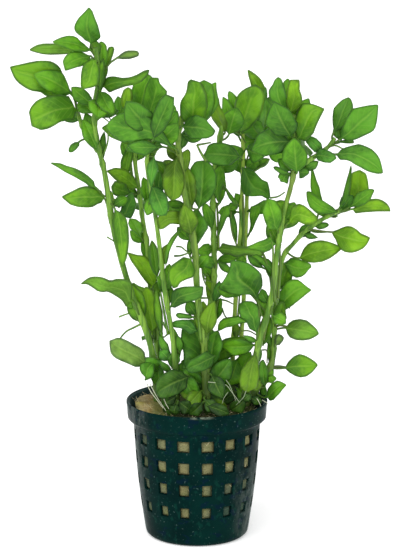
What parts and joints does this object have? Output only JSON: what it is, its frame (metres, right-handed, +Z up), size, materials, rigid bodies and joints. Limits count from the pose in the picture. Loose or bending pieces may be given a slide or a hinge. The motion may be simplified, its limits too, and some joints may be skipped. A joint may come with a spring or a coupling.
{
  "type": "potted aquarium plant",
  "caption": "Potted water purslane: slim branching stems with pointed green leaves in opposite pairs, rooted in a rockwool plug inside a dark net pot.",
  "frame": {"origin": "centre of the pot's flat underside", "axes": "+Z up along the pot's axis, +X to the plant's right as seen from its front, and the front faces -Y"},
  "size_m": [0.1453, 0.0812, 0.2073],
  "materials": {
    "pot_plastic": "satin",
    "rockwool": "matte",
    "stem_green": "satin",
    "leaf_bright": "satin",
    "leaf_mid": "satin",
    "leaf_dark": "satin",
    "leaf_yellow": "satin",
    "leaf_light": "satin",
    "leaf_pale": "satin"
  },
  "bodies": {
    "root": {"net_pot": "pot_plastic", "rockwool_plug": "rockwool", "stem_a": "stem_green", "stem_b": "stem_green", "stem_c": "stem_green", "stem_d": "stem_green", "stem_e": "stem_green", "stem_f": "stem_green", "stem_g": "stem_green", "stem_h": "stem_green", "stem_i": "stem_green", "leaf_a01": "leaf_mid", "leaf_a02": "leaf_light", "leaf_a04": "leaf_mid", "leaf_a05": "leaf_bright", "leaf_a06": "leaf_bright", "leaf_a07": "leaf_bright", "leaf_a09": "leaf_mid", "leaf_a16": "leaf_mid", "leaf_a17": "leaf_bright", "leaf_a18": "leaf_bright", "leaf_a23": "leaf_mid", "leaf_a26": "leaf_pale", "leaf_b01": "leaf_mid", "leaf_b02": "leaf_mid", "leaf_b04": "leaf_mid", "leaf_b09": "leaf_bright", "leaf_c02": "leaf_dark", "leaf_c05": "leaf_dark", "leaf_c06": "leaf_mid", "leaf_d01": "leaf_bright", "leaf_d03": "leaf_mid", "leaf_d06": "leaf_dark", "leaf_d10": "leaf_bright", "leaf_d12": "leaf_yellow", "leaf_d14": "leaf_dark", "leaf_e01": "leaf_dark", "leaf_e07": "leaf_mid", "leaf_f01": "leaf_bright", "leaf_f06": "leaf_dark", "leaf_g01": "leaf_light", "leaf_h01": "leaf_dark", "leaf_h02": "leaf_yellow", "leaf_h03": "leaf_bright", "leaf_h05": "leaf_mid", "leaf_h12": "leaf_dark", "leaf_h13": "leaf_bright", "leaf_h15": "leaf_mid", "leaf_h16": "leaf_bright", "leaf_h19": "leaf_mid", "leaf_h20": "leaf_dark", "leaf_i01": "leaf_mid", "leaf_i03": "leaf_yellow", "leaf_i06": "leaf_yellow", "leaf_i07": "leaf_bright", "leaf_i08": "leaf_mid", "leaf_i13": "leaf_mid", "leaf_i14": "leaf_mid", "leaf_i15": "leaf_bright", "leaf_i16": "leaf_mid"}
  },
  "joints": []
}
